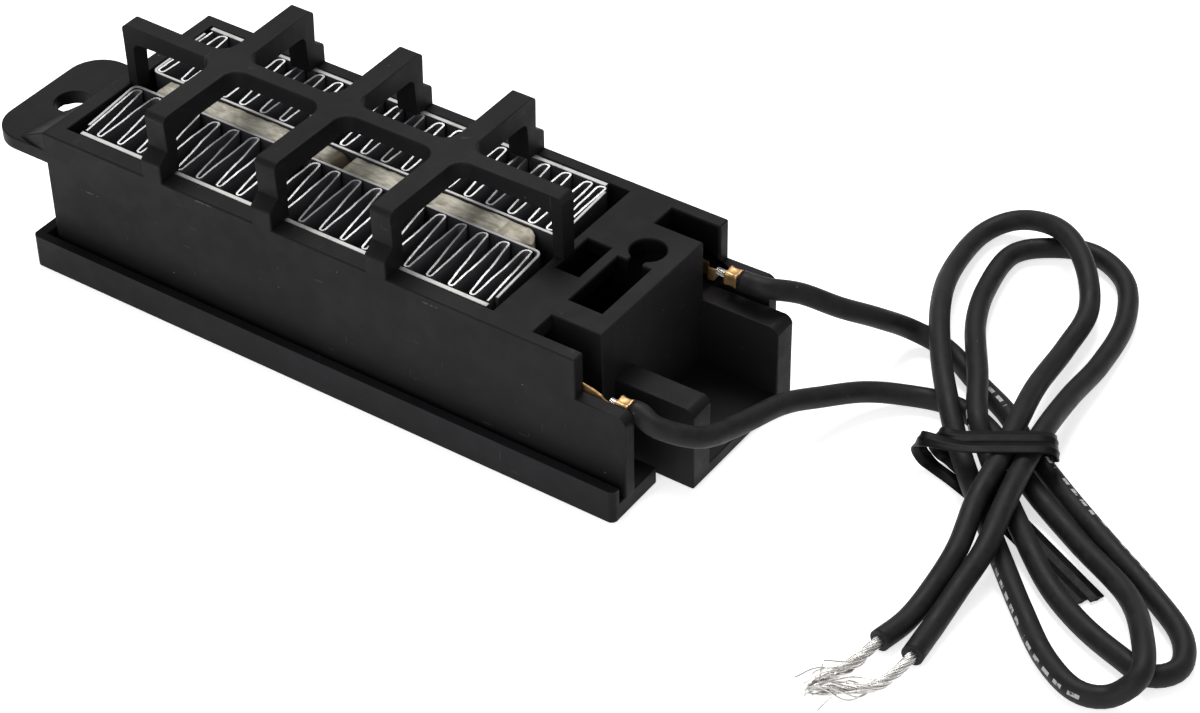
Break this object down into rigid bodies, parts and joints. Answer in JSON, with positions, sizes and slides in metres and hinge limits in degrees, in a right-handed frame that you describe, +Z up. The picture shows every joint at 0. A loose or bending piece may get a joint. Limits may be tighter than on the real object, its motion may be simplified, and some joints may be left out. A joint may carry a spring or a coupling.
{
  "type": "ptc heating element",
  "caption": "Flat moulded air heater: corrugated fins round ceramic heating plates in a lipped tray, under an open guard, with an ear, a trough and bundled leads.",
  "frame": {"origin": "middle of the rigid part's footprint, on the plane of the tray's underside; the leads are left out of it", "axes": "+X along the heater, from the mounting ear to the trough and the leads; +Y from the wall on the ear's side to the opposite wall; +Z up, along the air flow, from the tray to the guard"},
  "size_m": [0.156, 0.084, 0.0271],
  "materials": {
    "housing_plastic": "matte moulded",
    "tray_plastic": "matte moulded",
    "fin_aluminium": "rolled sheet",
    "strip_aluminium": "rolled sheet",
    "plate_ceramic": "matte, with a thin film of adhesive",
    "adhesive": "cured silicone",
    "terminal_brass": "stamped",
    "tinned_wire": "tinned strands",
    "lead_rubber": "satin silicone",
    "tie_plastic": "coated strip"
  },
  "bodies": {
    "root": {"housing": "housing_plastic", "base_tray": "tray_plastic", "fins_front": "fin_aluminium", "fins_back": "fin_aluminium", "inner_channel_front": "strip_aluminium", "inner_channel_back": "strip_aluminium", "side_strip_front": "strip_aluminium", "side_strip_back": "strip_aluminium", "ptc_plate_1": "plate_ceramic", "ptc_plate_2": "plate_ceramic", "adhesive_bead": "adhesive", "terminal_front": "terminal_brass", "terminal_back": "terminal_brass", "conductor_front": "tinned_wire", "conductor_back": "tinned_wire", "lead_front": "lead_rubber", "lead_back": "lead_rubber", "wire_end_front": "tinned_wire", "wire_end_back": "tinned_wire", "twist_tie": "tie_plastic"}
  },
  "joints": []
}
